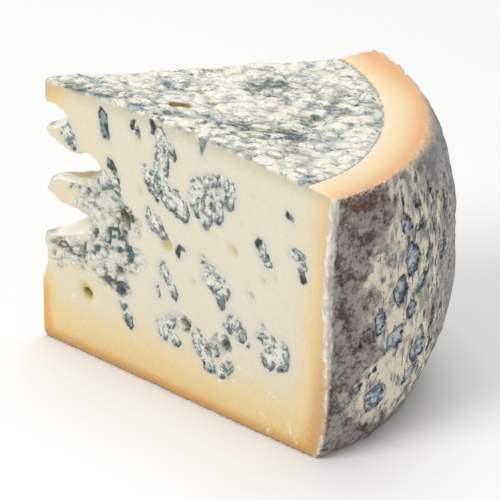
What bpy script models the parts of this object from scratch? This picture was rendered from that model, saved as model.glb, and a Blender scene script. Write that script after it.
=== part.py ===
"""A wedge of blue cheese: one sector of a broad natural-rind wheel that was also cut across its middle.

The wedge is a single solid. Its tip points to -X and its rind faces +X. The two cut faces meet at the tip,
the crumbly cut across the wheel is on top, and the wheel's own flat end is the base, at z = 0. Metres, +Z up.
"""

from math import atan2, cos, degrees, radians, sin

import bmesh
import bpy
from mathutils import Matrix, Vector

MM = 0.001

# wedge, laid out from the tip: the bisector of the cut is +X
HEIGHT = 95 * MM
OPENING = 49.0              # degrees between the two cut faces
CUT_LENGTH = 118 * MM       # of each cut face, from the tip to the rind
RIM_CENTRE = (63.3 * MM, -8.6 * MM)
RIM_RADIUS = 65.8 * MM
FRONT_AZIMUTH = -43.4       # where the front cut meets the rim, about the rim's centre
BACK_AZIMUTH = 56.8         # where the back cut meets it

# rind wall: nearly straight at the front corner, barrelled round the middle
BULGE_FRONT = -3.2 * MM
BULGE_MIDDLE = 8.9 * MM
TUCK_FRONT = 6.6 * MM       # how far the wall draws in at the foot
TUCK_MIDDLE = 4.0 * MM
TUCK_HEIGHT = 35.5 * MM
FULLNESS = 2.9              # 2 is a plain arc from base to rim, more is squarer shouldered
HIGH_BELLY = 1.2            # above 1 the widest place is above the middle
FOOT_ROUND = 1.0 * MM
RIM_ROUND = 0.5 * MM
BACK_CORNER_RISE = 2.6 * MM     # the rim lifts this much at the back cut

# top: the crumbly core ends on this circle, and outside it is a smooth band of firmer paste
BAND_CENTRE = (53.2 * MM, -9.0 * MM)
BAND_RADIUS = 61.4 * MM

# cut faces: the soft paste has slumped outward a little near the base
SLUMP_FRONT = 2.0 * MM
SLUMP_BACK = 1.2 * MM
SLUMP_HEIGHT = 34 * MM

# how finely the wall is divided: round the whole wheel, and at these heights in mm
AROUND = 216
RING_HEIGHTS = [1.2, 2.8, 6, 10, 15, 20, 26, 32, 39, 46, 53, 60, 67, 74, 81, 87, 91, 93.6]

# The blunt tip, seen from the side: millimetres from the tip, millimetres up. The foot stands proud.
TIP_LINE = [(1.6, -3), (0.9, 0.3), (-0.3, 2.4), (-0.5, 8), (-0.3, 20), (1.0, 23.5), (2.3, 27), (2.5, 34),
            (1.7, 38.5), (1.9, 50), (2.8, 66), (3.9, 98)]

# Three crumbled notches run through the tip from one cut face to the other: each one's outline, and how
# much it drops toward the back cut face, per millimetre.
NOTCHES = {
    "upper": ([(-6, 90.5), (3, 88.2), (7.5, 87.8), (10.6, 86.8), (11.8, 84.8), (10.8, 82.4), (8, 80.7),
               (3, 79.3), (-6, 79)], 0.02),
    "middle": ([(-6, 79), (3.4, 76.4), (8.3, 73.6), (14.5, 71.4), (20, 73.0), (23.6, 71.2), (25.3, 67.8),
                (22.5, 64.4), (16, 61.9), (10.5, 61.9), (7.0, 61.4), (4.2, 59.2), (3.0, 56.2), (-6, 55.6)], 0.24),
    "lower": ([(-6, 56.2), (2.6, 55.2), (8, 52.7), (13.5, 52.4), (18.6, 52.0), (20.8, 49), (18.4, 45.6),
               (13.5, 43.8), (9.5, 41.5), (2, 39.8), (-6, 39)], 0.0),
}
NOTCH_FLARE = 0.05          # each one leans this much along x for each millimetre across the tip

# Open eyes in the front cut face, in mm: along the face from the tip, height, half sizes along and up,
# depth, and turn in degrees.
FRONT_EYES = [
    (37.0, 57.0, 2.6, 4.0, 3.0, 24),
    (20.0, 23.3, 2.3, 1.8, 3.4, -25),
    (35.2, 30.4, 1.6, 2.3, 2.4, 30),
    (62.6, 28.2, 2.4, 1.9, 2.8, -10),
    (79.3, 26.4, 2.0, 2.4, 2.8, 0),
    (55.0, 54.2, 1.9, 2.1, 1.3, 20),
]
# The open eye in the top: x and y from the tip, half sizes along x and y, depth, turn.
TOP_EYE = (49.8, -6.0, 4.6, 2.4, 2.8, 14)

PASTE_COLOUR = (0.775, 0.716, 0.578, 1.0)
PASTE_ROUGHNESS = 0.55


def clear_scene():
    for thing in list(bpy.data.objects):
        bpy.data.objects.remove(thing, do_unlink=True)


def clamp(x):
    return max(0.0, min(1.0, x))


def smooth(x):
    x = clamp(x)
    return x * x * (3 - 2 * x)


def wall_offset(azimuth, z):
    """How far the rind stands out from the rim's circle at this azimuth and height."""
    around = clamp((azimuth - FRONT_AZIMUTH) / (BACK_AZIMUTH - FRONT_AZIMUTH))
    k = smooth(around / 0.55)
    bulge = BULGE_FRONT + (BULGE_MIDDLE - BULGE_FRONT) * k
    tuck = TUCK_FRONT + (TUCK_MIDDLE - TUCK_FRONT) * k
    h = clamp(z / HEIGHT)
    out = bulge * (1 - abs(2 * h ** HIGH_BELLY - 1) ** FULLNESS) - tuck * clamp(1 - z / TUCK_HEIGHT) ** 2
    out -= FOOT_ROUND * clamp(1 - z / (3.2 * MM)) ** 2
    out -= RIM_ROUND * clamp(1 - (HEIGHT - z) / (2.2 * MM)) ** 2
    return out


def rim_rise(azimuth):
    around = clamp((azimuth - FRONT_AZIMUTH) / (BACK_AZIMUTH - FRONT_AZIMUTH))
    return BACK_CORNER_RISE * clamp((around - 0.5) / 0.5) ** 1.5


def wheel_barrel():
    """The outside of the wheel: a ringed cylinder pressed to the barrelled wall, with a raised rim."""
    bm = bmesh.new()
    bmesh.ops.create_cone(bm, cap_ends=True, segments=AROUND, radius1=RIM_RADIUS, radius2=RIM_RADIUS,
                          depth=HEIGHT, matrix=Matrix.Translation((0, 0, HEIGHT / 2)))
    for mm in RING_HEIGHTS:
        bmesh.ops.bisect_plane(bm, geom=bm.verts[:] + bm.edges[:] + bm.faces[:],
                               plane_co=(0, 0, mm * MM), plane_no=(0, 0, 1))
    # a ring inside the top's edge, which becomes the inner edge of the smooth band
    inset = 10 * MM
    top = [f for f in bm.faces if f.normal.z > 0.9]
    bmesh.ops.inset_region(bm, faces=top, thickness=inset, use_even_offset=True)
    for v in bm.verts:
        azimuth = degrees(atan2(v.co.y, v.co.x))
        flat = Vector((v.co.x, v.co.y, 0))
        r = flat.length
        if r < RIM_RADIUS - inset / 2:
            v.co.x, v.co.y = (c + BAND_RADIUS * n for c, n in zip(BAND_CENTRE, flat.normalized()))
            continue
        rise = rim_rise(azimuth) if v.co.z > HEIGHT - 0.1 * MM else 0.0
        r += wall_offset(azimuth, v.co.z)
        v.co.z += rise
        # the far side of the wheel is cut away, so it only has to clear the tip
        r *= 1 + 0.5 * smooth((abs(azimuth) - 95) / 30)
        out = flat.normalized() * r
        v.co.x, v.co.y = out.x + RIM_CENTRE[0], out.y + RIM_CENTRE[1]
    return mesh_object("wheel_barrel", bm)


def knife_block():
    """The space between the two knife cuts, its long sides bowed where the paste slumped."""
    half = radians(OPENING / 2)
    reach = 190 * MM
    bm = bmesh.new()
    bmesh.ops.create_grid(bm, x_segments=16, y_segments=1, size=0.5)
    bottom = bm.faces[:]
    lifted = bmesh.ops.extrude_face_region(bm, geom=bottom)
    bmesh.ops.translate(bm, vec=(0, 0, 1), verts=[g for g in lifted["geom"] if isinstance(g, bmesh.types.BMVert)])
    for up in (0.05, 0.12, 0.18, 0.24, 0.30, 0.36, 0.42, 0.5):
        bmesh.ops.bisect_plane(bm, geom=bm.verts[:] + bm.edges[:] + bm.faces[:],
                               plane_co=(0, 0, up), plane_no=(0, 0, 1))
    low, tall = -5 * MM, 110 * MM
    for v in bm.verts:
        along = (v.co.x + 0.5) * reach / cos(half)
        z = low + v.co.z * tall
        side = 1 if v.co.y > 0 else -1
        most = SLUMP_BACK if side > 0 else SLUMP_FRONT
        u = clamp(along / CUT_LENGTH)
        bow = most * 4 * u * (1 - u) * (0.7 + 0.7 * u) * clamp(1 - max(z, 0) / SLUMP_HEIGHT) ** 2
        v.co = Vector((along * cos(half), side * (along * sin(half) + bow + 0.02 * MM), z))
    bmesh.ops.recalc_face_normals(bm, faces=bm.faces[:])
    return mesh_object("knife_block", bm)


def rounded(points, steps=4):
    """A closed curve through the given points."""
    n = len(points)
    line = []
    for i in range(n):
        a, b, c, d = (Vector(points[(i + k) % n]) for k in (-1, 0, 1, 2))
        for s in range(steps):
            t = s / steps
            line.append(0.5 * ((2 * b) + (c - a) * t + (2 * a - 5 * b + 4 * c - d) * t * t
                               + (3 * b - a - 3 * c + d) * t ** 3))
    return line


def side_prism(name, outline, half_width, drop=0.0, flare=0.0):
    """Extrudes an outline drawn in x and z (mm) across the wedge, dropping and leaning toward +y."""
    bm = bmesh.new()
    ring = [bm.verts.new((p[0] * MM, -half_width, p[1] * MM)) for p in outline]
    face = bm.faces.new(ring)
    swept = bmesh.ops.extrude_face_region(bm, geom=[face])
    bmesh.ops.translate(bm, vec=(0, 2 * half_width, 0),
                        verts=[g for g in swept["geom"] if isinstance(g, bmesh.types.BMVert)])
    for v in bm.verts:
        v.co.z -= drop * v.co.y
        v.co.x += flare * v.co.y
    bmesh.ops.recalc_face_normals(bm, faces=bm.faces[:])
    return mesh_object(name, bm)


def add_eye(bm, centre, across, up, into, half_across, half_up, depth, turn):
    """A small egg-shaped hollow sunk into a face; across, up and into are the face's own axes."""
    spin = Matrix.Rotation(radians(turn), 3, "Z")
    face_axes = Matrix((across, up, into)).transposed()
    for v in bmesh.ops.create_uvsphere(bm, u_segments=14, v_segments=8, radius=1.0)["verts"]:
        shaped = spin @ Vector((v.co.x * half_across * MM, v.co.y * half_up * MM, v.co.z * depth * MM))
        v.co = Vector(centre) + face_axes @ shaped


def eye_cutter():
    """Every open eye, as one tool."""
    half = radians(OPENING / 2)
    along, outward = Vector((cos(half), -sin(half), 0)), Vector((-sin(half), -cos(half), 0))
    bm = bmesh.new()
    for u, z, a, b, depth, turn in FRONT_EYES:
        add_eye(bm, along * u * MM + Vector((0, 0, z * MM)), along, (0, 0, 1), -outward, a, b, depth, turn)
    x, y, a, b, depth, turn = TOP_EYE
    add_eye(bm, (x * MM, y * MM, HEIGHT), (1, 0, 0), (0, 1, 0), (0, 0, -1), a, b, depth, turn)
    bmesh.ops.recalc_face_normals(bm, faces=bm.faces[:])
    return mesh_object("eyes", bm)


def mesh_object(name, bm):
    mesh = bpy.data.meshes.new(name)
    bm.to_mesh(mesh)
    bm.free()
    return bpy.data.objects.new(name, mesh)


def cut(target, tool, operation):
    step = target.modifiers.new(tool.name, "BOOLEAN")
    step.operation = operation
    step.solver = "EXACT"
    step.object = tool


def paint(thing):
    paste = bpy.data.materials.new("blue_cheese_paste")
    paste.use_nodes = True
    paste.diffuse_color = PASTE_COLOUR
    shader = paste.node_tree.nodes["Principled BSDF"]
    shader.inputs["Base Color"].default_value = PASTE_COLOUR
    shader.inputs["Roughness"].default_value = PASTE_ROUGHNESS
    thing.data.materials.append(paste)


def main():
    clear_scene()
    home = bpy.data.collections.new("cheese_wedge_parts")
    tools = bpy.data.collections.new("cheese_wedge_cutters")
    for group in (home, tools):
        bpy.context.scene.collection.children.link(group)
    tools.hide_render = True

    wedge = wheel_barrel()
    wedge.name = "cheese_wedge"
    wedge.data.name = "cheese_wedge"
    home.objects.link(wedge)

    block = knife_block()
    tip = side_prism("tip_trim", [(-20, -6)] + TIP_LINE + [(-20, 104)], 12 * MM)
    cutters = [tip]
    for name, (outline, drop) in NOTCHES.items():
        cutters.append(side_prism("notch_" + name, rounded(outline), 24 * MM, drop, NOTCH_FLARE))
    cutters.append(eye_cutter())

    for tool in [block] + cutters:
        tools.objects.link(tool)
        tool.display_type = "WIRE"
        tool.hide_render = True
        cut(wedge, tool, "INTERSECT" if tool is block else "DIFFERENCE")

    # bake the cuts, then put the origin under the middle of the bounding box
    bpy.context.view_layer.update()
    solid = bpy.data.meshes.new_from_object(wedge.evaluated_get(bpy.context.evaluated_depsgraph_get()))
    wedge.modifiers.clear()
    wedge.data = solid
    solid.name = "cheese_wedge"
    bm = bmesh.new()
    bm.from_mesh(solid)
    bmesh.ops.remove_doubles(bm, verts=bm.verts[:], dist=0.00002)
    bmesh.ops.dissolve_degenerate(bm, edges=bm.edges[:], dist=0.00001)
    bmesh.ops.dissolve_limit(bm, angle_limit=radians(0.05), verts=bm.verts[:], edges=bm.edges[:])
    bmesh.ops.triangulate(bm, faces=bm.faces[:])
    low = [min(v.co[i] for v in bm.verts) for i in range(3)]
    high = [max(v.co[i] for v in bm.verts) for i in range(3)]
    shift = Vector((-(low[0] + high[0]) / 2, -(low[1] + high[1]) / 2, -low[2]))
    bmesh.ops.translate(bm, vec=shift, verts=bm.verts[:])
    bm.to_mesh(solid)
    bm.free()
    for tool in tools.objects:
        tool.location = shift
    paint(wedge)
    print("tip at", [round(c / MM, 2) for c in shift], "size", [round((b - a) / MM, 2) for a, b in zip(low, high)],
          "triangles", len(solid.polygons))


main()
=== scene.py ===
"""The blue cheese wedge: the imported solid's surface, remeshed finely, given its relief and its looks."""
from math import cos, radians, sin
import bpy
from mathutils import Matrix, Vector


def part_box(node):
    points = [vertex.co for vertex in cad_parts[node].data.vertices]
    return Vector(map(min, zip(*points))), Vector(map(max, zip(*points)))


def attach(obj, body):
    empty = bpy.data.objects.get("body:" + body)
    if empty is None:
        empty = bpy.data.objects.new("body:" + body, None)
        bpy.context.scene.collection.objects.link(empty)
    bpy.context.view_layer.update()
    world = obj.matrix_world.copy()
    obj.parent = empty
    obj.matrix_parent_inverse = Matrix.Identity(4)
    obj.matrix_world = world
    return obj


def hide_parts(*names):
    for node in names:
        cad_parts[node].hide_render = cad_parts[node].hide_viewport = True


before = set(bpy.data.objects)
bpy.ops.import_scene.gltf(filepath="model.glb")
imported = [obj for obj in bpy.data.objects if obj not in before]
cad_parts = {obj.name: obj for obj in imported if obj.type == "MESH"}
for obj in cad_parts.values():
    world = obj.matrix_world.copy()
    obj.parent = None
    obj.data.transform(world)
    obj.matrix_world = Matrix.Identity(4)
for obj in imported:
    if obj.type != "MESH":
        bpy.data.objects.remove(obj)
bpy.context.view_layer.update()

from types import SimpleNamespace

import bmesh
import bpy
import numpy as np
from mathutils import Vector

# ---------------------------------------------------------------- where things are
low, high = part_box("cheese_wedge")
OFF_MIDDLE = 0.0007                                              # m, the tip's place beside the box's middle
TIP = Vector((low[0], (low[1] + high[1]) / 2 + OFF_MIDDLE, 0))   # the wedge's tip, on the base
TOP = 95.0                                                       # mm, height of the crumbly top
HALF = radians(24.5)                                             # half the opening between the cuts
BOW_LENGTH = 122.0                                               # mm from the tip, where the front's bow ends
RIM = (63.3, -8.6, 65.8)                                         # mm from the tip: rim circle x, y, radius
BAND = (53.2, -9.0, 61.4)                                        # the circle that the crumbly core ends on
FRONT_AZ, BACK_AZ = -43.4, 56.8                                  # where the cuts meet the rim, degrees
RIND_ARC = radians(1.0) * 68                                     # mm of rind to a degree of azimuth
NOTCH_FOOT, NOTCH_HEAD, NOTCH_REACH = 39, 91, 28                 # mm: the crumbled notches' heights and depth
TOP_HOLLOW = (93, -0.8, 4.2, 2.6)                                # mm: the top's hollow, x, y and half sizes

SOFTENED_CELL = 0.0007                                           # m, a cell that is softened in 12 rounds
VOXEL = 0.00079                        # m, the remeshed surface's cell


# ---------------------------------------------------------------- noise on arrays of points (mm)
def smooth(x, a=0.0, b=1.0):
    """0 at a, 1 at b, with an eased step between; a may be the larger."""
    x = np.clip((x - a) / (b - a), 0, 1)
    return x * x * (3 - 2 * x)


def cell_hash(i, j, k, seed):
    """A number from 0 to 1 that belongs to one cell of the grid."""
    h = (i.astype(np.uint64) * np.uint64(73856093)) ^ (j.astype(np.uint64) * np.uint64(19349663))
    h = h ^ (k.astype(np.uint64) * np.uint64(83492791)) ^ np.uint64(seed * 7919 + 17)
    h = h & np.uint64(0xFFFFFFFF)
    h = ((h ^ (h >> np.uint64(15))) * np.uint64(2246822519)) & np.uint64(0xFFFFFFFF)
    h = ((h ^ (h >> np.uint64(13))) * np.uint64(3266489917)) & np.uint64(0xFFFFFFFF)
    return ((h ^ (h >> np.uint64(16))) & np.uint64(0xFFFFFF)).astype(float) / 0xFFFFFF


def noise(p, size, seed):
    """Smooth value noise, -1 to 1, with features about size mm across."""
    q = p / size + 500.0
    c = np.floor(q)
    f = q - c
    f = f * f * f * (f * (f * 6 - 15) + 10)
    c = c.astype(np.int64)
    out = np.zeros(len(p))
    for dx in (0, 1):
        for dy in (0, 1):
            for dz in (0, 1):
                w = np.abs(1 - dx - f[:, 0]) * np.abs(1 - dy - f[:, 1]) * np.abs(1 - dz - f[:, 2])
                out += w * cell_hash(c[:, 0] + dx, c[:, 1] + dy, c[:, 2] + dz, seed)
    return out * 2 - 1


def fbm(p, size, seed, octaves=3):
    """Noise with finer and weaker noise added, -1 to 1."""
    total, amp, out = 0.0, 1.0, np.zeros(len(p))
    for o in range(octaves):
        out += amp * noise(p, size / 2 ** o, seed + 31 * o)
        total += amp
        amp *= 0.5
    return out / total


def crumbs(p, size, seed):
    """Distances to the nearest and second nearest crumb centres, in crumb sizes, and a number
    that is the nearest crumb's own."""
    q = p / size + 500.0
    c = np.floor(q).astype(np.int64)
    near = np.full(len(p), 9.0)
    second = np.full(len(p), 9.0)
    own = np.zeros(len(p))
    for dx in (-1, 0, 1):
        for dy in (-1, 0, 1):
            for dz in (-1, 0, 1):
                i, j, k = c[:, 0] + dx, c[:, 1] + dy, c[:, 2] + dz
                at = np.stack([i + cell_hash(i, j, k, seed), j + cell_hash(i, j, k, seed + 1),
                               k + cell_hash(i, j, k, seed + 2)], 1)
                d = np.sqrt(((q - at) ** 2).sum(1))
                closer = d < near
                second = np.where(closer, near, np.minimum(second, d))
                own = np.where(closer, cell_hash(i, j, k, seed + 3), own)
                near = np.minimum(near, d)
    return near, second, own


def ovals(u, v, shapes, power=2.0):
    """Signed distance (mm, negative inside) to the nearest of some turned ovals, its index, and how far
    the point lies to the shape's right and lower side. A power below 2 makes the ovals pointed."""
    best, which, lean = np.full(len(u), 99.0), np.zeros(len(u), int), np.zeros(len(u))
    for n, (cu, cv, a, b, turn) in enumerate(shapes):
        t = radians(turn)
        x = (u - cu) * cos(t) + (v - cv) * sin(t)
        y = -(u - cu) * sin(t) + (v - cv) * cos(t)
        ax, ay = np.abs(x / a) + 1e-9, np.abs(y / b) + 1e-9
        q = (ax ** power + ay ** power) ** (1 / power)
        slope = np.hypot((ax / q) ** (power - 1) / a, (ay / q) ** (power - 1) / b)
        d = (q - 1) / np.maximum(slope, 1 / max(a, b))
        d = np.where(q < 0.05, -b, d)
        closer = d < best
        which = np.where(closer, n, which)
        lean = np.where(closer, (0.8 * (u - cu) - 0.6 * (v - cv)) / (0.5 * (a + b)), lean)
        best = np.minimum(best, d)
    return best, which, np.clip(lean, -1, 1)


# ---------------------------------------------------------------- the wedge's finer mesh
def fine_copy():
    """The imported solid, remeshed in even cells."""
    cad = bpy.data.objects["cheese_wedge"]
    mesh = cad.data.copy()
    mesh.transform(cad.matrix_world)
    rough = bpy.data.objects.new("remesh_source", mesh)
    bpy.context.scene.collection.objects.link(rough)
    step = rough.modifiers.new("voxels", "REMESH")
    step.mode = "VOXEL"
    step.voxel_size = VOXEL
    step.use_smooth_shade = True
    made = bpy.data.meshes.new_from_object(rough.evaluated_get(bpy.context.evaluated_depsgraph_get()))
    bpy.data.objects.remove(rough)
    wedge = bpy.data.objects.new("blue_cheese_wedge", made)
    bpy.context.scene.collection.objects.link(wedge)
    return wedge


def read(mesh):
    """The mesh's points, in metres, and their normals."""
    n = len(mesh.vertices)
    co, no = np.empty(n * 3), np.empty(n * 3)
    mesh.vertices.foreach_get("co", co)
    mesh.vertex_normals.foreach_get("vector", no)
    return co.reshape(-1, 3), no.reshape(-1, 3)


def from_tip(co):
    """Points in metres as millimetres from the wedge's tip."""
    return (co - np.array(TIP[:])) * 1000.0


def soften(mesh, amount, rounds):
    """Averages each point with its neighbours, by its own amount, which rounds sharp edges."""
    ends = np.empty(len(mesh.edges) * 2, int)
    mesh.edges.foreach_get("vertices", ends)
    a, b = ends[0::2], ends[1::2]
    co = read(mesh)[0]
    n = len(co)
    count = np.bincount(ends, minlength=n).clip(1)
    for _ in range(rounds):
        mean = np.stack([np.bincount(a, co[b, i], n) + np.bincount(b, co[a, i], n) for i in range(3)], 1)
        co += (mean / count[:, None] - co) * amount[:, None]
    mesh.vertices.foreach_set("co", co.ravel())
    mesh.update()


def store(mesh, name, values):
    """Keeps a measure of each point on the mesh, where the material reads it."""
    layer = mesh.attributes.new(name, "FLOAT", "POINT")
    layer.data.foreach_set("value", np.asarray(values, np.float32))


# ---------------------------------------------------------------- mould pockets, in mm
# Front cut face: along the face from the tip, height, half length, half width, turn in degrees.
FRONT_POCKETS = [
    # the long one that runs down from the top edge
    (51.8, 90.0, 2.6, 1.7, 110), (53.2, 84.5, 6.5, 2.9, 97), (56.5, 88.2, 3.4, 0.9, 130),
    (52.8, 77.5, 5.5, 2.8, 95), (47.3, 75.5, 4.6, 1.4, 97), (50.4, 75.0, 4.4, 2.0, 100),
    (49.8, 71.2, 3.2, 1.3, 130), (57.0, 72.2, 4.6, 4.2, 140), (61.0, 69.4, 4.6, 3.4, 115),
    # the two-lobed ring beside it
    (68.8, 79.6, 4.4, 3.0, 100), (68.2, 74.4, 4.8, 3.5, 115), (73.4, 83.8, 3.2, 2.2, 10),
    (79.4, 84.6, 3.6, 2.3, 150), (81.6, 80.8, 5.2, 2.4, 80), (75.8, 77.6, 5.6, 2.6, 100),
    (72.0, 70.8, 4.0, 3.0, 85), (76.6, 73.2, 3.6, 2.2, 75),
    # upper left
    (34.6, 71.8, 1.3, 0.7, 120), (13.2, 79.4, 4.2, 2.9, 110), (16.0, 76.2, 2.0, 1.6, 90),
    (28.5, 68.0, 3.4, 3.8, 40), (33.6, 67.4, 2.2, 3.6, 10), (68.9, 93.8, 3.4, 1.4, 100),
    # middle
    (50.0, 61.0, 5.6, 2.8, 118), (52.6, 57.2, 3.4, 1.8, 150), (54.2, 43.4, 3.8, 1.8, 112),
    (57.6, 38.6, 3.6, 2.1, 115), (51.2, 35.6, 2.4, 0.8, 100), (53.2, 46.8, 1.2, 0.8, 100),
    (71.4, 53.4, 3.4, 2.0, 115), (74.6, 48.8, 5.0, 4.6, 128), (78.8, 46.6, 4.0, 2.8, 120),
    (77.4, 43.0, 3.2, 1.9, 110), (95.4, 66.4, 3.6, 2.0, 120), (97.4, 63.2, 2.0, 1.6, 90),
    (108.8, 70.8, 3.0, 1.7, 15), (111.0, 67.4, 2.8, 1.6, 100),
    # lower
    (38.4, 21.4, 3.8, 1.8, 112), (36.2, 25.8, 1.8, 2.2, 70), (53.2, 22.4, 3.8, 2.3, 100),
    (58.0, 20.8, 3.0, 2.1, 150), (56.4, 26.2, 2.6, 2.2, 20), (68.0, 25.8, 3.0, 2.0, 100),
    (69.6, 22.4, 4.4, 3.3, 115), (73.2, 18.6, 3.8, 3.2, 130), (77.8, 17.2, 3.6, 2.8, 160),
    (81.6, 19.8, 3.0, 1.5, 85), (75.4, 23.4, 2.8, 2.0, 70), (83.4, 36.4, 3.6, 2.8, 140),
    (86.0, 33.6, 3.4, 2.3, 60), (80.6, 33.6, 2.2, 1.3, 150), (88.6, 30.6, 0.9, 0.6, 90),
    (97.6, 35.4, 4.2, 3.4, 140), (101.6, 31.8, 5.6, 3.9, 110), (97.6, 28.6, 3.6, 3.2, 60),
    (103.6, 34.6, 3.4, 2.0, 110), (93.6, 35.6, 1.5, 1.1, 90), (95.2, 39.6, 1.6, 0.9, 120),
    (89.8, 48.8, 1.3, 0.5, 110),
]
# The same, for the few that are dark right through.
DARK_POCKETS = [
    (28.7, 87.4, 5.0, 1.8, 106), (40.3, 90.8, 1.2, 1.0, 120), (42.6, 88.8, 1.3, 0.9, 110),
    (48.8, 92.0, 1.5, 0.9, 120), (32.0, 75.0, 2.8, 1.6, 115), (60.4, 53.8, 2.6, 1.1, 85),
    (61.8, 55.6, 1.8, 0.7, 160), (93.4, 69.2, 1.9, 1.6, 120), (111.0, 64.0, 2.2, 1.5, 100),
    (106.0, 83.2, 2.0, 1.0, 120),
]
# The crumbly, marbled part of the front face, behind the notches, and small patches round two open eyes.
FRONT_ZONE = [
    (31, 62, 5.5, 6.5, 90), (36.5, 57, 5.5, 8.5, 75), (27, 52, 13, 6, 155), (13, 36.5, 9, 5.5, 5),
    (27, 42, 13, 10, 10), (38, 43, 6, 9, 110), (30, 33.5, 10, 4.5, 160), (8, 34, 5.5, 4, 100),
    (22, 63, 6.0, 3.5, 160), (21, 57.5, 5, 2.5, 150), (14.5, 61.0, 3.6, 1.8, 10), (60.6, 28.4, 4.4, 2.6, 5),
    (77.4, 27.4, 4.4, 4.0, 60),
]
# The mouldiest places in it.
ZONE_MOULD = [
    (15.6, 60.8, 4.2, 1.3, 12), (24.0, 62.0, 5.0, 1.6, 18), (33.0, 65.0, 3.0, 2.2, 80),
    (4.6, 38.0, 2.6, 1.4, 90), (10.4, 36.6, 2.4, 3.2, 60), (16.6, 37.6, 5.6, 2.0, 5),
    (22.4, 41.0, 4.4, 2.4, 10), (33.0, 50.0, 6.0, 3.0, 40), (18.6, 31.6, 5.0, 1.6, 110),
    (29.0, 32.6, 3.0, 1.8, 110), (38.6, 45.0, 6.6, 1.2, 100), (39.4, 57.0, 4.4, 1.2, 95),
    (26.0, 56.0, 4.0, 1.2, 140), (35.0, 38.0, 2.6, 1.4, 60), (8.6, 31.0, 1.8, 1.2, 120),
    (25.0, 47.0, 3.0, 1.4, 20),
]
# Open eyes that mould has lined.
MOULDY_EYES = [
    (37.0, 57.0, 4.8, 3.4, 100), (35.2, 30.4, 3.0, 2.2, 60), (62.6, 28.2, 3.2, 2.6, 0),
    (79.3, 26.4, 3.0, 2.8, 90),
]
# Soft dimples and small tears: along, up, half length, half width, turn.
DIMPLES = [
    (83.0, 62.4, 2.6, 1.8, 115), (76.2, 64.4, 1.1, 0.6, 130), (95.2, 56.2, 1.5, 1.0, 120),
    (100.2, 58.6, 1.2, 0.8, 120), (90.6, 48.8, 1.7, 0.9, 110), (43.2, 87.6, 1.6, 1.1, 110),
    (43.4, 57.6, 1.6, 1.1, 90), (55.0, 54.2, 2.4, 2.3, 90), (19.8, 23.8, 3.9, 3.0, 115),
    (91.0, 84.6, 1.1, 0.6, 100), (66.4, 44.8, 1.6, 0.8, 120), (44.0, 69.6, 1.8, 1.0, 100),
    (86.4, 73.0, 1.0, 0.6, 100),
]
# Pale smears that the knife left near the foot.
SMEARS = [
    (106.6, 7.0, 2.8, 0.7, 100), (108.8, 3.6, 1.4, 0.6, 130), (97.4, 2.4, 1.5, 0.5, 60),
    (88.0, 20.8, 3.4, 0.35, 172), (77.6, 13.6, 1.6, 0.7, 120), (100.1, 16.2, 2.8, 0.35, 160),
    (95.3, 7.6, 1.6, 0.5, 140), (84.2, 14.8, 1.4, 0.5, 150), (15.0, 20.6, 2.6, 0.5, 50),
    (23.6, 21.2, 1.2, 0.8, 60),
]
# Rind: azimuth about the rim's centre, height, half length, half width, turn (90 is upright).
RIND_POCKETS = [
    (-16.2, 86.4, 3.2, 0.8, 95), (-15.6, 76.8, 4.8, 2.4, 100), (-10.6, 80.7, 4.2, 0.7, 120),
    (-10.4, 74.2, 3.6, 0.9, 57), (-13.5, 63.2, 7.0, 3.0, 92), (-17.6, 54.2, 6.0, 3.1, 82),
    (-10.5, 52.6, 5.0, 1.7, 55), (-14.0, 45.2, 3.8, 2.1, 70), (-24.4, 45.8, 5.3, 2.5, 83),
    (-29.3, 44.5, 1.9, 0.6, 30), (-19.0, 37.6, 5.2, 3.6, 50), (-9.4, 28.0, 4.8, 3.8, 60),
    (-11.0, 19.6, 4.4, 2.6, 40), (-31.1, 23.7, 3.6, 1.6, 52), (-24.6, 17.6, 5.6, 4.5, 60),
    (-25.6, 28.8, 1.4, 0.7, 60), (-27.3, 27.3, 1.6, 0.6, 60), (-10.2, 10.2, 2.6, 1.1, 45),
    (-18.7, 12.6, 1.2, 0.6, 60), (-34.9, 19.9, 1.6, 0.8, 35), (-8.2, 62.5, 3.2, 0.5, 85),
    (-0.1, 59.8, 5.0, 1.7, 80), (2.2, 72.9, 5.0, 1.1, 84), (-4.1, 83.5, 4.6, 0.9, 100),
    (-5.0, 34.4, 2.6, 0.9, 75), (-4.1, 40.5, 3.4, 0.8, 80), (-3.9, 26.0, 2.2, 0.9, 70),
    (-9.6, 36.5, 1.5, 1.0, 60), (-23.0, 60.5, 1.2, 0.5, 80), (-31.2, 39.3, 0.9, 0.5, 40),
]
# Mouldy parts of the top: x and y from the tip, half length, half width, turn.
TOP_MOULD = [
    (30, -6.5, 12, 1.6, -5), (67, -15, 9, 4.0, 12), (85, -16, 6, 3.0, 0), (73, 16.5, 7, 3.2, 0),
    (87, 14.8, 4.5, 2.8, 0), (92, -0.5, 6, 3.0, 0), (47, 9, 8, 2.4, 15), (98, 12, 5, 4, 90),
]


def scattered(seed, count, u_range, v_range, keep):
    """Seeded pockets for a side that nothing shows: a few families of leaning ovals."""
    rng = np.random.default_rng(seed)
    made = []
    while len(made) < count:
        u, v = rng.uniform(*u_range), rng.uniform(*v_range)
        if not keep(u, v):
            continue
        for _ in range(rng.integers(1, 4)):
            made.append((u + rng.normal(0, 2.6), v + rng.normal(0, 3.2), rng.uniform(1.6, 5.4),
                         rng.uniform(0.9, 2.9), rng.uniform(60, 125)))
    return made


BACK_POCKETS = scattered(41, 46, (18, 100), (12, 93), lambda u, v: v > 14 + 0.02 * u)
BACK_ZONE = [(30, 60, 14, 9, 110), (24, 42, 13, 9, 20), (62, 70, 15, 8, 60), (70, 34, 10, 8, 120),
             (40, 80, 8, 6, 30)]
FAR_RIND_POCKETS = scattered(7, 26, (4, 54), (8, 90), lambda u, v: True)

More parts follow.
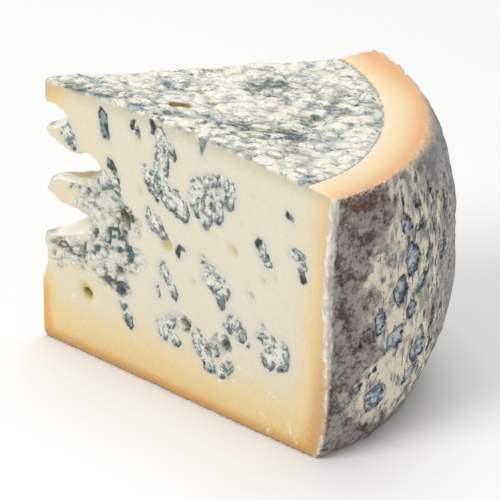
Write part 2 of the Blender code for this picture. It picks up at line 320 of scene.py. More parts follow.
# Where the grey coat of the rind stops and the paste shows: height, azimuth.
COAT_EDGE = [(0, -8), (5.6, -16), (8, -25), (12, -31), (15, -32.4), (18, -33), (22, -31.6), (26, -32.3),
             (29, -31), (31, -26.7), (33.5, -22), (37.5, -23.8), (42, -25.4), (48.5, -27.6), (52, -27),
             (56.5, -29.8), (64, -31), (69, -29.4), (71, -24), (75, -21), (80, -19.5), (85.5, -20),
             (90, -22.8), (95, -20)]


# ---------------------------------------------------------------- where each point of the mesh is
def wall_reach(azimuth, z):
    """How far the rind wall stands outside the rim's circle, mm."""
    around = np.clip((azimuth - FRONT_AZ) / (BACK_AZ - FRONT_AZ), 0, 1)
    k = smooth(around / 0.55)
    h = np.clip(z / TOP, 0, 1)
    out = (-3.2 + 12.1 * k) * (1 - np.abs(2 * h ** 1.2 - 1) ** 2.9)
    return out - (6.6 - 2.6 * k) * np.clip(1 - z / 35.5, 0, 1) ** 2 - np.clip(1 - z / 3.2, 0, 1) ** 2


def round_notches(mesh):
    """Takes the sharp edges off the crumbled notches at the tip."""
    x, _, z = from_tip(read(mesh)[0]).T
    crumbled = smooth(x, 31, 25) * smooth(z, 36.5, 39) * smooth(z, 86, 83)
    soften(mesh, 0.6 * crumbled, round(8 * (SOFTENED_CELL / VOXEL) ** 2) + 4)


def survey(mesh):
    """Each point's place, in mm from the tip, and how far it belongs to each face of the wedge, 0 to 1."""
    s = SimpleNamespace()
    s.co, s.no = read(mesh)
    s.p = from_tip(s.co)
    s.x, s.y, s.z = s.p.T
    ch, sh = cos(HALF), sin(HALF)
    s.out_front, s.out_back = -s.x * sh - s.y * ch, -s.x * sh + s.y * ch
    s.along_front, s.along_back = s.x * ch - s.y * sh, s.x * ch + s.y * sh
    facing_front, facing_back = -s.no[:, 0] * sh - s.no[:, 1] * ch, -s.no[:, 0] * sh + s.no[:, 1] * ch
    rx, ry = s.x - RIM[0], s.y - RIM[1]
    s.azimuth, s.reach = np.degrees(np.arctan2(ry, rx)), np.hypot(rx, ry)
    facing_out = (s.no[:, 0] * rx + s.no[:, 1] * ry) / np.maximum(s.reach, 1)
    s.core = np.hypot(s.x - BAND[0], s.y - BAND[1]) - BAND[2]    # outside the crumbly core when positive
    s.core_side = smooth(s.core, 0.6, -0.5)
    s.skin = RIM[2] - s.reach + wall_reach(s.azimuth, s.z)       # depth under the rind

    s.on_front = smooth(facing_front, 0.45, 0.8) * (s.out_front > -1.2)
    s.on_back = smooth(facing_back, 0.45, 0.8) * (s.out_back > -1.2)
    s.on_top = smooth(s.no[:, 2], 0.4, 0.75) * (s.z > 91.5)
    s.on_base = smooth(-s.no[:, 2], 0.6, 0.85) * (s.z < 2.0)
    rest = np.clip(1 - s.on_front - s.on_back - s.on_top - s.on_base, 0, 1)
    s.on_wall = rest * smooth(s.reach, 56, 60) * smooth(facing_out, 0.0, 0.35)
    s.inside = np.clip(rest - s.on_wall, 0, 1)                   # notches and eyes
    s.on_cut = s.on_front + s.on_back
    s.on_band = s.on_top * (1 - s.core_side)
    s.notch = np.maximum(s.inside, smooth(s.no[:, 2], 0.25, 0.6)) * (s.x < NOTCH_REACH)
    s.notch = s.notch * (s.z > NOTCH_FOOT) * (s.z < NOTCH_HEAD)

    s.swell = fbm(s.p, 17, 21, 2)
    s.drift = np.stack([fbm(s.p, 7, 3), fbm(s.p, 7, 5), fbm(s.p, 7, 9)], 1) * 2.2
    s.wob_u = 1.0 * fbm(s.p, 5, 101, 3) + 0.35 * noise(s.p, 1.4, 111)
    s.wob_v = 1.3 * fbm(s.p, 5, 103, 3) + 0.35 * noise(s.p, 1.4, 113)
    return s


def wobbly(s, u, v, shapes, amount=1.0, power=2.0):
    """ovals() with the outlines made uneven."""
    return ovals(u + amount * s.wob_u, v + amount * s.wob_v, shapes, power)


# ---------------------------------------------------------------- crumb
def top_crumbs(s):
    """Relief of the top's crumb, in mm, and its gaps, 0 to 1; both are stretched along the top's streaks."""
    turn = 0.27
    u, v = s.x * cos(turn) + s.y * sin(turn), -s.x * sin(turn) + s.y * cos(turn)
    streaks = np.stack([u / 1.5, v, s.z], 1) + s.drift
    near, second, own = crumbs(streaks, 4.2, 11)
    near_fine, second_fine, _ = crumbs(streaks + s.drift * 0.4, 2.1, 29)
    lump, lump_fine = 1 - smooth(near, 0.1, 0.95), 1 - smooth(near_fine, 0.1, 0.95)
    height = (1.0 * (lump - 0.55) + 0.45 * (lump_fine - 0.5) + 0.5 * (own - 0.5) + 0.45 * s.swell
              + 0.22 * fbm(s.p, 1.7, 55, 2))
    between = 0.5 * (second - near) + 0.2 * (second_fine - near_fine) + 0.35 * (lump - 0.5)
    return height, smooth(between, 0.42, 0.02)


def zone_crumbs(s):
    """The same for the crumbly part of the cut faces."""
    blob = s.p + s.drift * 1.1
    near, second, own = crumbs(blob, 3.6, 71)
    billow = np.abs(fbm(blob, 3.4, 73, 3)) * 2.6 - 0.5
    height = 0.55 * (0.5 - smooth(near, 0.1, 0.95)) + 1.0 * billow + 0.4 * (own - 0.5)
    between = 0.30 * (second - near) + 0.62 * billow + 0.25 * fbm(s.p, 6, 79, 2)
    return height, smooth(between, 0.30, -0.30)


def crumbly_parts(s):
    """Where the paste is crumbly: on the top, with its edge, and on the cut faces and in the notches."""
    crumb = s.on_top * s.core_side
    crumb = np.maximum(crumb, 0.9 * smooth(s.z, 93.2, 94.6) * s.core_side * (s.on_cut > 0.1))
    d_front = wobbly(s, s.along_front, s.z, FRONT_ZONE, 1.6)[0]
    d_back = wobbly(s, s.along_back, s.z, BACK_ZONE, 1.6)[0]
    zone = np.maximum(s.on_front * smooth(d_front, 1.2, -1.6), s.on_back * smooth(d_back, 1.2, -1.6))
    zone = np.maximum(zone, s.notch * smooth(s.x + 3 * fbm(s.p, 6, 141, 2), 15, 20))
    zone = np.maximum(zone * (1 - s.notch * smooth(s.x, 19, 15)), 0)
    return crumb, zone


def mouldiness(s, crumb, crumb_eye):
    """How much mould lies in the crumb, about 0.5."""
    d_top = wobbly(s, s.x, s.y, TOP_MOULD, 2)[0]
    d_zone = wobbly(s, s.along_front, s.z, ZONE_MOULD)[0]
    mould = 0.50 + 0.26 * fbm(s.p, 15, 601, 2)
    return np.where(crumb > 0.02, mould + 0.17 * smooth(d_top, 3.5, -2.5) + 0.01,
                    mould + s.on_front * 0.46 * smooth(d_zone, 1.4, -1.2) + 0.25 * crumb_eye)


# ---------------------------------------------------------------- pockets and eyes
def mould_pockets(s):
    """Distance to the nearest pocket's outline, the side of it that a point is on, and the dark ones."""
    d_front, which, lean_front = wobbly(s, s.along_front, s.z, FRONT_POCKETS + DARK_POCKETS)
    d_back, _, lean_back = wobbly(s, s.along_back, s.z, BACK_POCKETS)
    on_rind = [(azimuth * RIND_ARC, *others) for azimuth, *others in RIND_POCKETS + FAR_RIND_POCKETS]
    d_rind, _, lean_rind = wobbly(s, s.azimuth * RIND_ARC, s.z, on_rind, 0.7, 1.35)
    vein, lean = np.full(len(s.p), 9.0), lean_front
    for face, distance, side in ((s.on_front, d_front, lean_front), (s.on_back, d_back, lean_back),
                                 (s.on_wall, d_rind, lean_rind)):
        vein = np.where(face > 0.35, distance, vein)
        lean = np.where(face > 0.35, side, lean)
    solid = s.on_front * (which >= len(FRONT_POCKETS)) * (d_front < 1.5)
    return np.clip(vein, -6, 9), lean, solid


def open_eyes(s, d_dimple):
    """Eyes and dimples, 0 to 1, the painted shade in their depths, and the eyes that crumb lines."""
    in_eye = s.inside * (s.along_front > 16) * (s.out_front > -4.5) * ((s.x > 30) | (s.z < 38))
    in_eye = in_eye * (s.z < NOTCH_HEAD)
    crumb_eye = smooth(ovals(s.along_front, s.z, MOULDY_EYES)[0], 0.8, -0.3) * (s.out_front > -4.5)
    crumb_eye = crumb_eye * (s.on_front + s.inside > 0.5)
    pit = np.maximum(in_eye * smooth(s.out_front, 0.1, -0.9), s.inside * (s.z > NOTCH_HEAD) * (s.x > 40))
    pit = np.maximum(pit * (1 - crumb_eye), s.on_front * 0.45 * smooth(d_dimple, 0.3, -1.3))
    # Painted shade, darker deeper inside the eyes.
    painted_eye_shade = np.maximum(pit * smooth(s.out_front, -0.9, -2.2),
                      0.9 * crumb_eye * s.inside * smooth(s.out_front, -0.4, -2.0))
    return np.clip(pit, 0, 1), painted_eye_shade, crumb_eye


# ---------------------------------------------------------------- paste and rind
def paste_tones(s):
    """Colour of the paste: ivory inside, warmer towards the foot, the rind and the tip's bare corners."""
    foot = np.clip((36 - s.z - 2.0 * s.swell) / 36, 0, 1) ** 1.4
    to_rind = np.clip((22 - s.skin - 2.0 * s.swell) / 22, 0, 1) ** 2.2 * (s.x > 50)
    tip_foot = smooth(s.x - 0.10 * np.abs(s.z - 12), 8, 0.5) * smooth(s.z, 30, 18)
    warm = 0.66 * foot + 0.12 * smooth(s.z, 9.0, 0.0)
    warm = np.maximum(warm, (0.80 - 0.25 * smooth(s.z, 40, 70)) * to_rind + 0.50 * foot)
    warm = np.maximum(warm, 0.72 * tip_foot + 0.3 * foot)
    warm = np.maximum(warm, 0.85 * smooth(s.x, 16, 4) * smooth(s.z, 82, 93))
    warm = np.maximum(warm, 0.20 * smooth(s.x, 60, 5))
    by_rind = (s.x > 50) * smooth(s.skin, 8.0, 1.5)
    # Crust: browned paste at the foot and under the rind; at the foot it is partly painted shade, darker
    # where the light falls off.
    crust = np.maximum(smooth(s.z, 5.4 + 0.8 * s.swell, 0.2), by_rind * (0.15 + 0.65 * smooth(s.z, 50, 20)))
    # Painted shade: the front face darker under the top's overhanging crumb and towards its rind edge.
    beside_rind = 0.55 * (s.x > 50) * smooth(s.skin, 5.0, 1.0)
    painted_edge_shade = np.maximum(smooth(s.z + 0.5 * s.swell, 89.5, 94.5), beside_rind)
    # Painted shade at the back of the notch floors (olive), and painted light on their upward-facing parts
    # (pale).
    olive = s.notch * smooth(s.out_front, -3.0, -6.5) * smooth(s.z, 57, 59) * smooth(s.z, 72, 66)
    pale = s.notch * smooth(s.no[:, 2], -0.1, 0.5) * (1 - olive)
    return dict(warm=np.clip(warm + 0.03 * s.swell, 0, 1), crust=crust, painted_edge_shade=s.on_front * painted_edge_shade,
                olive=olive, pale=pale)


def rind_coat(s):
    """Depth of the rind's grey coat, negative where the paste is bare, and the reddish patches on it."""
    edge = np.interp(s.z, *zip(*COAT_EDGE))
    coat = 0.8 * (edge - s.azimuth) * RIND_ARC + 3.0 * fbm(s.p, 6, 201, 3) + 2.5 * fbm(s.p, 12, 203, 2)
    streaky = np.stack([s.azimuth * RIND_ARC / 0.55, s.z / 2.6, 0 * s.z], 1)
    coat = np.maximum(coat, 5 * fbm(streaky, 5, 211, 3) - 4.6 + 4.2 * smooth(s.azimuth, -14, 14)
                      + 3.5 * smooth(s.z, 76, 94) - 2.0 * smooth(s.z, 40, 12) * smooth(s.azimuth, 10, -10))
    bare = 8 * smooth(s.azimuth + 10 * fbm(s.p, 20, 223, 2), 24, 8)
    coat = np.maximum(coat, 6 * fbm(s.p, 13, 221, 3) + 1.5 - bare)
    coat = np.maximum(coat, (5.0 - s.z) * 0.8 + 2.5 * fbm(s.p, 5, 231, 2))
    coat = np.where(s.on_base > 0.3, 4.0, np.clip(coat, -6, 6))

    red = smooth(s.z, 82, 91) * smooth(s.azimuth, -14, -24)
    red = red * smooth(fbm(s.p, 5, 241, 2) + 0.06 * (s.z - 91), -0.45, 0.1)
    from_spot = np.hypot((s.azimuth + 21.4) * RIND_ARC, 0.45 * (s.z - 79.4)) + fbm(s.p, 2, 243)
    return coat, np.maximum(red, 0.9 * smooth(from_spot, 2.2, 0.8))


def rind_edge(s):
    """The whitish edge of the rind, on the cut faces and round the corner, and the flaky rim of the top."""
    lower = smooth(s.z, 42, 24)
    ragged = s.skin + 0.9 * fbm(s.p, 7, 501, 3)
    rim = np.maximum(s.on_band * smooth(ragged, 2.0, 0.2), s.on_wall * smooth(s.z, 92.6, 94.2))
    ragged = ragged + 1.1 * fbm(s.p, 3.0, 511, 3)
    width = 1.9 - 1.0 * lower
    corner = -np.maximum(s.out_front, s.out_back) + 0.8 * fbm(s.p, 2.4, 521, 3)
    strip = s.on_cut * (s.x > 50) * smooth(ragged, width, width - 0.7)
    return np.maximum(strip, s.on_wall * smooth(corner, 2.3 - 1.4 * lower, 1.0 - 1.4 * lower)), rim


# ---------------------------------------------------------------- relief
def raised(s, crumb, top_height, zone, zone_height, vein, coat, d_dimple, d_smear):
    """How far each point moves along its normal, mm."""
    relief = s.on_top * s.core_side * (top_height * smooth(s.core, 0, -2.5) - 0.25)
    relief += s.on_band * (0.10 * s.swell + 0.08 * fbm(s.p, 4, 61, 2))
    at_rim = np.maximum(s.on_band, s.on_wall * smooth(s.z, 91, 94)) * smooth(np.abs(s.skin), 1.8, 0.3)
    relief += at_rim * (0.75 * fbm(s.p, 1.9, 67, 2) + 0.25 * fbm(s.p, 5, 69, 2))
    relief -= s.on_top * 0.5 * np.exp(-(s.core / 0.55) ** 2)
    relief += np.where(crumb > s.on_top, 0.6 * top_height * crumb, 0)
    cx, cy, half_x, half_y = TOP_HOLLOW
    relief -= s.on_top * 1.9 * smooth(np.hypot((s.x - cx) / half_x, (s.y - cy) / half_y), 1.25, 0.3)
    relief += s.on_cut * (0.22 * s.swell + 0.05 * noise(s.p, 3.1, 301))
    relief += s.on_cut * zone * (zone_height - 0.35)
    relief -= s.on_cut * (1 - zone) * smooth(vein, 0.4, -1.3) * (0.42 - 0.42 * fbm(s.p, 2.0, 311, 2))
    relief -= s.on_front * 0.8 * smooth(d_dimple, 0.9, -1.2)
    relief += s.on_front * 0.14 * smooth(d_smear, 0.2, -0.4)
    relief += s.on_wall * (0.75 * fbm(s.p, 11, 401, 3) + 0.28 * fbm(s.p, 2.4, 411, 2) * smooth(coat, -1, 1))
    relief -= s.on_wall * (0.65 + 0.5 * fbm(s.p, 2.2, 421, 2)) * smooth(vein, 0.5, -1.4)
    relief += s.on_wall * 0.3 * smooth(coat, -0.8, 0.8)
    relief += s.inside * 0.55 * fbm(s.p, 3.2, 431, 3) * (s.x < 30)
    return relief


def front_bow(s):
    """The front cut bows: the top's edge stands up a little, and both long edges draw in. Moves, in mm."""
    along = np.clip(s.along_front / BOW_LENGTH, 0, 1)
    bow = 4 * along * (1 - along)
    up = (0.9 + 1.7 * bow) * smooth(s.out_front, -24, -2) * smooth(s.z, 87, 95) * smooth(s.along_front, -1, 6)
    back = 1.8 * bow * smooth(s.out_front, -18, 0) * np.maximum(smooth(s.z, 82, 95), smooth(s.z, 14, 0))
    return np.stack([back * sin(HALF), back * cos(HALF), up], 1)


def stood_flat(s, co):
    """Keeps the base level and everything above the ground."""
    level = np.maximum(0.0, 0.00012 * (1 + fbm(s.p, 5, 441, 2)))
    co[:, 2] = np.maximum(np.where(s.on_base > 0.5, level, co[:, 2]), 0.0)
    return co


def shape(wedge):
    """Gives the wedge its relief, and keeps on its points what the material needs to know."""
    mesh = wedge.data
    round_notches(mesh)
    s = survey(mesh)
    crumb, zone = crumbly_parts(s)
    top_height, top_crevice = top_crumbs(s)
    zone_height, zone_crevice = zone_crumbs(s)
    vein, lean, solid = mould_pockets(s)
    coat, red = rind_coat(s)
    strip, rim = rind_edge(s)
    d_dimple = ovals(s.along_front, s.z, DIMPLES)[0]
    d_smear = wobbly(s, s.along_front, s.z, SMEARS, 0.4)[0]
    pit, painted_eye_shade, crumb_eye = open_eyes(s, d_dimple)

    relief = raised(s, crumb, top_height, zone, zone_height, vein, coat, d_dimple, d_smear)
    co = s.co + s.no * (relief * 0.001)[:, None] + 0.001 * front_bow(s)
    mesh.vertices.foreach_set("co", stood_flat(s, co).ravel())

    crevice = np.where(crumb > 0.02, top_crevice, zone_crevice)
    measures = dict(
        paste_tones(s), vein=vein, lean=lean, solid=solid, coat=coat, red=red, strip=strip, rim=rim,
        pit=pit, painted_eye_shade=painted_eye_shade, on_top=crumb, zone=np.maximum(np.maximum(zone, crumb_eye), crumb),
        crevice=crevice, mould=mouldiness(s, crumb, crumb_eye),
        smear=s.on_front * smooth(d_smear, 0.25, -0.3),
        band=s.on_band, core=np.clip(s.core, -9, 20), wall=np.clip(s.on_wall + s.on_base, 0, 1),
        far=smooth(s.azimuth, -17, 2), back=smooth(s.azimuth, 22, 54))
    for name, values in measures.items():
        store(mesh, name, values)
    mesh.update()


# ---------------------------------------------------------------- materials
def linear(*colour):
    """An sRGB colour, 0 to 255, as the linear colour that shaders take."""
    return tuple(c / 255 / 12.92 if c <= 10 else ((c / 255 + 0.055) / 1.055) ** 2.4 for c in colour) + (1.0,)


class Nodes:
    """Short names for the shader nodes."""

    def __init__(self, material):
        material.use_nodes = True
        self.tree = material.node_tree
        self.shader = self.tree.nodes["Principled BSDF"]
        place = self.new("ShaderNodeTexCoord")
        scale = self.new("ShaderNodeVectorMath", operation="SCALE")
        self.tree.links.new(place.outputs["Object"], scale.inputs[0])
        scale.inputs["Scale"].default_value = 1000.0
        self.mm = scale.outputs[0]                               # the place, in mm
        self.fine, self.small = self.noise(0.45, 3), self.noise(1.1, 3)
        self.middle, self.wide = self.noise(2.6, 3), self.noise(8.0, 2)

    def new(self, kind, **settings):
        node = self.tree.nodes.new(kind)
        for key, value in settings.items():
            setattr(node, key, value)
        return node

    def put(self, socket, value):
        if isinstance(value, bpy.types.NodeSocket):
            self.tree.links.new(value, socket)
        else:
            socket.default_value = value

    def field(self, name):
        """One of the measures that shape() stores on the mesh."""
        return self.new("ShaderNodeAttribute", attribute_name=name).outputs["Fac"]

    def math(self, operation, a, b=0.0, c=0.0):
        node = self.new("ShaderNodeMath", operation=operation)
        for socket, value in zip(node.inputs, (a, b, c)):
            self.put(socket, value)
        return node.outputs[0]

    def add(self, a, b):
        return self.math("ADD", a, b)

    def mul(self, a, b):
        return self.math("MULTIPLY", a, b)

    def step(self, value, a, b, low=0.0, high=1.0):
        """Smooth step from low at a to high at b; a may be a socket, and is then the larger of the two."""
        node = self.new("ShaderNodeMapRange", interpolation_type="SMOOTHSTEP")
        turned = isinstance(a, bpy.types.NodeSocket) or a > b
        for socket, v in zip(node.inputs, (value, b, a, high, low) if turned else (value, a, b, low, high)):
            self.put(socket, v)
        return node.outputs[0]

    def mix(self, factor, a, b):
        node = self.new("ShaderNodeMix", data_type="RGBA")
        self.put(node.inputs[0], factor)
        self.put(node.inputs[6], a)
        self.put(node.inputs[7], b)
        return node.outputs[2]

    def stretched(self, x, y, z, turn=0.0):
        node = self.new("ShaderNodeMapping")
        self.put(node.inputs["Vector"], self.mm)
        node.inputs["Scale"].default_value = (x, y, z)
        node.inputs["Rotation"].default_value = (0, 0, radians(turn))
        return node.outputs[0]

    def noise(self, size, detail=2.0, rough=0.5, where=None, twist=0.0):
        node = self.new("ShaderNodeTexNoise")
        self.put(node.inputs["Vector"], where or self.mm)
        node.inputs["Scale"].default_value = 1.0 / size
        node.inputs["Detail"].default_value = detail
        node.inputs["Roughness"].default_value = rough
        node.inputs["Distortion"].default_value = twist
        return node.outputs["Fac"]

    def around(self, value, amount):
        """A 0 to 1 value turned into one that swings about 0 by half the amount."""
        return self.math("MULTIPLY_ADD", value, amount, -0.5 * amount)


def paste_colour(n):
    """Ivory, through straw, to tan at the foot and under the rind."""
    warm = n.add(n.field("warm"), n.around(n.wide, 0.16))
    paste = n.mix(n.step(warm, 0.02, 0.5), linear(226, 218, 197), linear(235, 207, 148))
    paste = n.mix(n.step(warm, 0.45, 1.0), paste, linear(229, 168, 72))
    # Crust: browned at the foot and under the rind, and partly painted shade at the foot.
    crust = n.mul(n.field("crust"), n.step(n.small, 0.2, 0.6, 0.7, 1.0))
    paste = n.mix(crust, paste, linear(196, 142, 72))
    # Painted shade under the front's top edge and by its rind edge.
    paste = n.mix(n.mul(n.field("painted_edge_shade"), 0.65), paste, linear(194, 186, 152))
    # Painted light on the notch floors, and painted shade at their back.
    paste = n.mix(n.field("pale"), paste, linear(255, 251, 236))
    paste = n.mix(n.mul(n.field("olive"), 0.9), paste, linear(196, 176, 112))
    paste = n.mix(n.step(n.small, 0.35, 0.75, 0.0, 0.16), paste, linear(246, 240, 224))
    return n.mix(n.step(n.middle, 0.52, 0.8, 0.0, 0.12), paste, linear(196, 186, 160))


def crumb_colour(n):
    """Cream lumps, with olive and blue-grey mould in the gaps between them; the top's are lighter."""
    top = n.field("on_top")
    mould = n.around(n.field("mould"), 1.3)
    streak = n.noise(1.6, 5, 0.66, n.stretched(0.42, 1.0, 1.0, -15), 0.5)
    hue = n.step(n.noise(7.0, 3), 0.42, 0.58)
    lump = n.mix(n.step(n.small, 0.3, 0.7),
                 n.mix(top, linear(240, 237, 222), linear(253, 250, 239)),
                 n.mix(top, linear(220, 218, 202), linear(236, 232, 212)))
    thin_mould = n.mix(top, n.mix(hue, linear(170, 170, 150), linear(158, 170, 168)),
                       n.mix(hue, linear(178, 178, 160), linear(166, 177, 181)))
    thick_mould = n.mix(top, n.mix(hue, linear(78, 86, 80), linear(64, 84, 94)),
                        n.mix(hue, linear(82, 88, 78), linear(66, 82, 94)))

    gap = n.mul(n.field("crevice"), n.add(n.mul(n.field("mould"), 0.8), 0.45))
    gap = n.add(gap, n.add(n.around(streak, 2.9), n.mul(mould, 0.7)))
    crumb = n.mix(n.step(n.add(gap, n.around(n.middle, 0.5)), 0.20, 1.1, 0.0, 0.9), lump, thin_mould)
    crumb = n.mix(n.step(n.add(gap, n.around(n.small, 1.1)), 0.80, 1.50, 0.0, 0.9), crumb, thick_mould)
    fleck = n.step(n.noise(0.9, 4, 0.68), 0.55, 0.62)
    fleck = n.mul(fleck, n.step(n.add(mould, n.around(n.middle, 1.6)), -0.15, 0.25))
    fleck = n.mul(fleck, n.math("MULTIPLY_ADD", top, 0.35, 0.5))
    return n.mix(fleck, crumb, n.mix(top, linear(66, 80, 84), linear(74, 92, 110)))


def with_band(n, colour):
    """Adds the smooth rim band of the top and the thin dark seam on its inner side."""
    core = n.field("core")
    out = n.add(n.add(core, n.around(n.middle, 1.6)), n.mul(n.field("back"), 5.0))
    band = n.mix(n.step(out, 0.0, 7.0), linear(247, 231, 200), linear(246, 219, 178))
    band = n.mix(n.step(out, 5.5, 13.5, 0.0, 0.9), band, linear(230, 176, 120))
    colour = n.mix(n.field("band"), colour, band)
    seam = n.step(n.math("ABSOLUTE", n.add(core, n.around(n.small, 1.2))), 0.6, 0.15)
    seam = n.mul(seam, n.step(n.noise(3.0, 2), 0.36, 0.5))
    seam = n.mul(seam, n.math("MAXIMUM", n.field("band"), n.field("on_top")))
    return n.mix(n.mul(seam, 0.75), colour, linear(84, 98, 96))


def edge_colour(n):
    """The whitish, fibrous edge of the rind."""
    drawn = n.noise(1.8, 4, 0.6, n.stretched(1.0, 1.0, 0.4))
    edge = n.mix(n.step(drawn, 0.38, 0.62), linear(240, 234, 226), linear(204, 196, 188))
    return n.mix(n.step(n.noise(0.9, 4, 0.66), 0.58, 0.68, 0.0, 0.45), edge, linear(164, 152, 146))


def bare_rind_colour(n, far):
    """Rind without its coat: pale, with grey clouds and upright dark dashes."""
    upright = n.stretched(1.0, 1.0, 0.34)
    blotch = n.add(n.noise(3.0, 4, 0.62, upright), n.math("MULTIPLY_ADD", far, 0.9, 0.02))
    bare = n.mix(n.step(blotch, 0.50, 0.66), linear(236, 228, 206), linear(150, 152, 152))
    bare = n.mix(n.step(n.noise(5.0, 3, 0.6), 0.5, 0.68, 0.0, 0.5), bare, linear(202, 194, 174))
    dash = n.add(n.noise(1.5, 4, 0.72, upright, 0.6), n.mul(far, 0.6))
    return n.mix(n.step(dash, 0.56, 0.62, 0.0, 0.9), bare, linear(66, 72, 80))


def rind_colour(n):
    """The velvety grey-brown coat, its pale crust where it thins, and the bare rind."""
    velvet, cloud = n.noise(1.7, 6, 0.72, None, 0.3), n.noise(5.5, 5, 0.62)
    grey = n.mix(n.step(n.add(velvet, n.around(cloud, 1.3)), 0.34, 0.66), linear(84, 75, 72),
                 linear(168, 157, 152))
    grey = n.mix(n.step(n.noise(4.2, 4, 0.62), 0.54, 0.66, 0.0, 0.65), grey, linear(188, 180, 172))
    grey = n.mix(n.step(n.noise(1.2, 4, 0.6), 0.55, 0.68, 0.0, 0.7), grey, linear(66, 57, 56))
    grey = n.mix(n.step(n.noise(1.0, 3, 0.6), 0.40, 0.32, 0.0, 0.4), grey, linear(196, 188, 182))
    grey = n.mix(n.mul(n.field("red"), n.step(n.middle, 0.35, 0.6, 0.3, 0.95)), grey, linear(98, 58, 46))
    grey = n.mix(n.mul(n.field("far"), 0.5), grey, linear(160, 168, 172))
    crust = n.mix(n.step(velvet, 0.4, 0.6), linear(170, 160, 150), linear(214, 206, 190))

    coat = n.add(n.field("coat"), n.around(n.noise(6.0, 5, 0.62), 20.0))
    coat = n.add(coat, n.add(n.around(n.small, 2.6), n.around(n.fine, 1.6)))
    rind = n.mix(n.step(coat, -3.4, -0.6), bare_rind_colour(n, n.mul(n.field("far"), 0.13)), crust)
    return n.mix(n.step(coat, -2.2, 1.4), rind, grey)


def pocket_lining(n, vein, lean, speck, blotch):
    """Inside a pocket of the cut faces: pale and mottled, slate-dark towards the right and the foot; that
    one-sided dark is painted shade over the slate mould.
    """
    dab = n.noise(1.9, 3, 0.55, None, 0.4)
    # Painted shade: the side of the pocket towards the right and the foot.
    shade = n.mul(n.step(lean, -0.1, 0.6), n.step(vein, -2.6, -0.6, 0.0, 1.0))
    spots = n.step(n.add(dab, n.mul(shade, 0.14)), 0.53, 0.62)
    lining = n.mix(n.step(speck, 0.34, 0.56), linear(170, 180, 176), linear(226, 225, 214))
    lining = n.mix(n.step(dab, 0.46, 0.34, 0.0, 0.8), lining, linear(236, 235, 226))
    slate = n.mix(n.step(blotch, 0.4, 0.6), linear(50, 72, 88), linear(76, 100, 106))
    slaty = n.math("MAXIMUM", n.mul(shade, 0.75), n.mul(spots, 0.8))
    lining = n.mix(n.mul(slaty, n.step(n.small, 0.2, 0.5, 0.65, 0.97)), lining, slate)
    pinpricks = n.add(n.noise(1.2, 3, 0.6), n.mul(shade, 0.05))
    return n.mix(n.step(pinpricks, 0.62, 0.68, 0.0, 0.9), lining, linear(34, 44, 50))


def rind_pocket_lining(n, vein, lean, speck):
    """Inside a pocket of the rind: slate-blue, with painted shade along its upper left edge."""
    blue = n.mix(n.step(speck, 0.38, 0.60), linear(96, 114, 132), linear(206, 211, 216))
    blue = n.mix(n.step(n.noise(1.3, 4, 0.66), 0.58, 0.66, 0.0, 0.85), blue, linear(50, 60, 74))
    # Painted shade on the pocket's upper left edge.
    edge = n.mul(n.step(lean, 0.5, -0.4, 0.25, 1.0), n.step(vein, -1.6, -0.3))
    return n.mix(n.mul(edge, 0.9), blue, linear(34, 40, 48))


def with_pockets(n, colour, wall, vein, speck):
    """Adds the mould pockets, with a bluish halo in the paste and a broken dark outline."""
    blotch = n.noise(4.0, 2, 0.5, None, 0.5)
    lean = n.add(n.mul(n.field("lean"), 0.9), n.around(blotch, 3.6))
    halo = n.mul(n.step(vein, 2.4, 0.0, 0.0, 0.5), n.math("SUBTRACT", 1.0, wall))
    colour = n.mix(halo, colour, linear(198, 206, 200))
    lining = n.mix(wall, pocket_lining(n, vein, lean, speck, blotch),
                   rind_pocket_lining(n, vein, lean, speck))
    dark = n.mix(n.step(speck, 0.46, 0.64), linear(44, 54, 58), linear(140, 154, 156))
    lining = n.mix(n.field("solid"), lining, dark)
    colour = n.mix(n.step(vein, 0.45, -0.45), colour, lining)

    breaks = n.noise(2.4, 4, 0.6)
    line = n.step(n.math("ABSOLUTE", n.add(vein, 0.25)), n.step(breaks, 0.38, 0.66, 0.1, 1.2), 0.0)
    line = n.mul(line, n.step(n.add(breaks, n.mul(lean, 0.08)), 0.47, 0.58))
    line = n.mul(line, n.step(n.field("zone"), 0.6, 0.1))
    line = n.mul(line, n.math("MULTIPLY_ADD", wall, 0.25, 0.75))
    return n.mix(line, colour, linear(38, 48, 58))


def with_hollows(n, colour):
    """Adds the olive eyes with painted shade in their depths, and the knife's pale smears."""
    colour = n.mix(n.step(n.field("pit"), 0.05, 0.6, 0.0, 0.9), colour, linear(206, 186, 108))
    # Painted shade in the eyes' depths.
    colour = n.mix(n.mul(n.field("painted_eye_shade"), n.step(n.middle, 0.3, 0.6, 0.5, 0.95)), colour, linear(58, 56, 40))
    return n.mix(n.mul(n.field("smear"), n.step(n.small, 0.4, 0.6, 0.1, 0.6)), colour, linear(252, 247, 232))


def grain(n, wall, vein, speck):
    """The finest relief, in units of the bump's distance: crumb and rind are rough, the paste is smooth."""
    height = n.add(n.noise(0.5, 4, 0.6), n.noise(1.4, 3, 0.6))
    height = n.mul(height, n.add(n.mul(n.field("zone"), 0.8), n.mul(wall, 1.3)))
    height = n.add(height, n.mul(n.step(vein, 0.2, -0.6), n.mul(speck, 1.6)))
    return n.add(height, n.mul(n.noise(0.7, 3), 0.12))


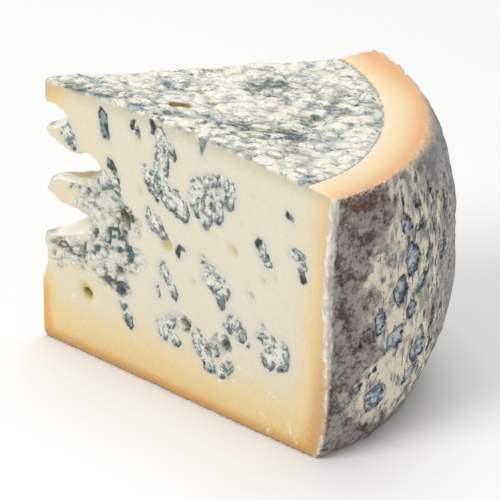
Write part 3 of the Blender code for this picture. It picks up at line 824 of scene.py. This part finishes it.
def cheese_material():
    material = bpy.data.materials.new("blue_cheese")
    n = Nodes(material)
    wall = n.field("wall")
    colour = n.mix(n.field("zone"), paste_colour(n), crumb_colour(n))
    colour = with_band(n, colour)
    edge = edge_colour(n)
    strip = n.mul(n.field("strip"), n.step(n.add(n.middle, n.around(n.small, 0.4)), 0.28, 0.5, 0.3, 1.0))
    colour = n.mix(strip, colour, edge)
    colour = n.mix(wall, colour, rind_colour(n))
    flake = n.mul(n.field("rim"), n.step(n.noise(1.3, 4, 0.7), 0.46, 0.54, 0.0, 0.85))
    colour = n.mix(flake, colour, linear(230, 210, 196))
    strip = n.mul(n.field("strip"), n.mul(wall, n.step(n.middle, 0.3, 0.55, 0.4, 0.95)))
    colour = n.mix(strip, colour, edge)
    vein = n.add(n.add(n.field("vein"), n.around(n.middle, 1.5)),
                 n.add(n.around(n.small, 1.3), n.around(n.fine, 0.5)))
    speck = n.noise(2.6, 2, 0.5, None, 0.6)
    colour = with_hollows(n, with_pockets(n, colour, wall, vein, speck))
    n.put(n.shader.inputs["Base Color"], colour)

    rough = n.add(n.math("MULTIPLY_ADD", n.field("zone"), 0.14, 0.42), n.mul(wall, 0.36))
    n.put(n.shader.inputs["Roughness"], n.add(rough, n.around(n.small, 0.08)))
    n.shader.inputs["Specular IOR Level"].default_value = 0.4
    n.shader.inputs["Subsurface Weight"].default_value = 0.12
    n.shader.inputs["Subsurface Radius"].default_value = (1.0, 0.55, 0.3)
    n.shader.inputs["Subsurface Scale"].default_value = 0.0025

    bump = n.new("ShaderNodeBump")
    bump.inputs["Strength"].default_value = 0.6
    bump.inputs["Distance"].default_value = 0.0005
    n.put(bump.inputs["Height"], grain(n, wall, vein, speck))
    n.put(n.shader.inputs["Normal"], bump.outputs[0])
    return material


wedge = fine_copy()
shape(wedge)
wedge.data.materials.clear()
wedge.data.materials.append(cheese_material())
for poly in wedge.data.polygons:
    poly.use_smooth = True
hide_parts("cheese_wedge")
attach(wedge, "root")


# ---------------------------------------------------------------- floor, light, camera
def plain(name, colour, rough):
    material = bpy.data.materials.new(name)
    material.use_nodes = True
    shader = material.node_tree.nodes["Principled BSDF"]
    shader.inputs["Base Color"].default_value = colour
    shader.inputs["Roughness"].default_value = rough
    return material


bm = bmesh.new()
bmesh.ops.create_grid(bm, x_segments=2, y_segments=2, size=4.0)
floor_mesh = bpy.data.meshes.new("floor")
bm.to_mesh(floor_mesh)
bm.free()
floor = bpy.data.objects.new("floor", floor_mesh)
floor.location.z = -0.0003
floor.data.materials.append(plain("floor", (0.97, 0.97, 0.97, 1), 0.9))
bpy.context.scene.collection.objects.link(floor)

VIEW = radians(16.1)                                             # the camera's turn about the wedge
RISE = radians(30)                                               # its height above the level
DISTANCE = 1.4                                                   # m, from the point it looks at
RIGHT = Vector((cos(VIEW), sin(VIEW), 0))
AHEAD = Vector((-sin(VIEW), cos(VIEW), 0))
UP = Vector((0, 0, 1))
AIM = TIP + RIGHT * 0.0682 + AHEAD * 0.0138 + UP * 0.0239        # the point it looks at


def aimed(name, data, place):
    """Stands a lamp or a camera at a place, turned towards the point that the camera looks at."""
    thing = bpy.data.objects.new(name, data)
    thing.location = place
    thing.rotation_mode = "QUATERNION"
    thing.rotation_quaternion = (AIM - thing.location).to_track_quat("-Z", "Y")
    bpy.context.scene.collection.objects.link(thing)
    return thing


def lamp(name, side, back, up, size, power, colour=(1, 1, 1)):
    """A round soft light, so far to the right, behind and above the wedge (m), of so many watts."""
    light = bpy.data.lights.new(name, "AREA")
    light.shape = "DISK"
    light.size, light.energy, light.color = size, power, colour
    aimed(name, light, AIM + RIGHT * side + AHEAD * back + UP * up)


lamp("key", -0.75, -0.55, 0.95, 0.6, 7.4, (1.0, 0.99, 0.975))
lamp("overhead", 0.15, 0.35, 1.35, 1.0, 6.5)
lamp("fill", 0.9, -0.8, 0.5, 0.7, 0.9, (0.98, 0.99, 1.0))
world = bpy.data.worlds.new("studio")
world.use_nodes = True
world.node_tree.nodes["Background"].inputs["Color"].default_value = (1, 1, 1, 1)
world.node_tree.nodes["Background"].inputs["Strength"].default_value = 0.45
bpy.context.scene.world = world
bpy.context.scene.view_settings.view_transform = "Standard"

eye = bpy.data.cameras.new("camera")
eye.lens, eye.sensor_width = 305.6, 36
stand = AIM - AHEAD * DISTANCE * cos(RISE) + UP * DISTANCE * sin(RISE)
bpy.context.scene.camera = aimed("camera", eye, stand)
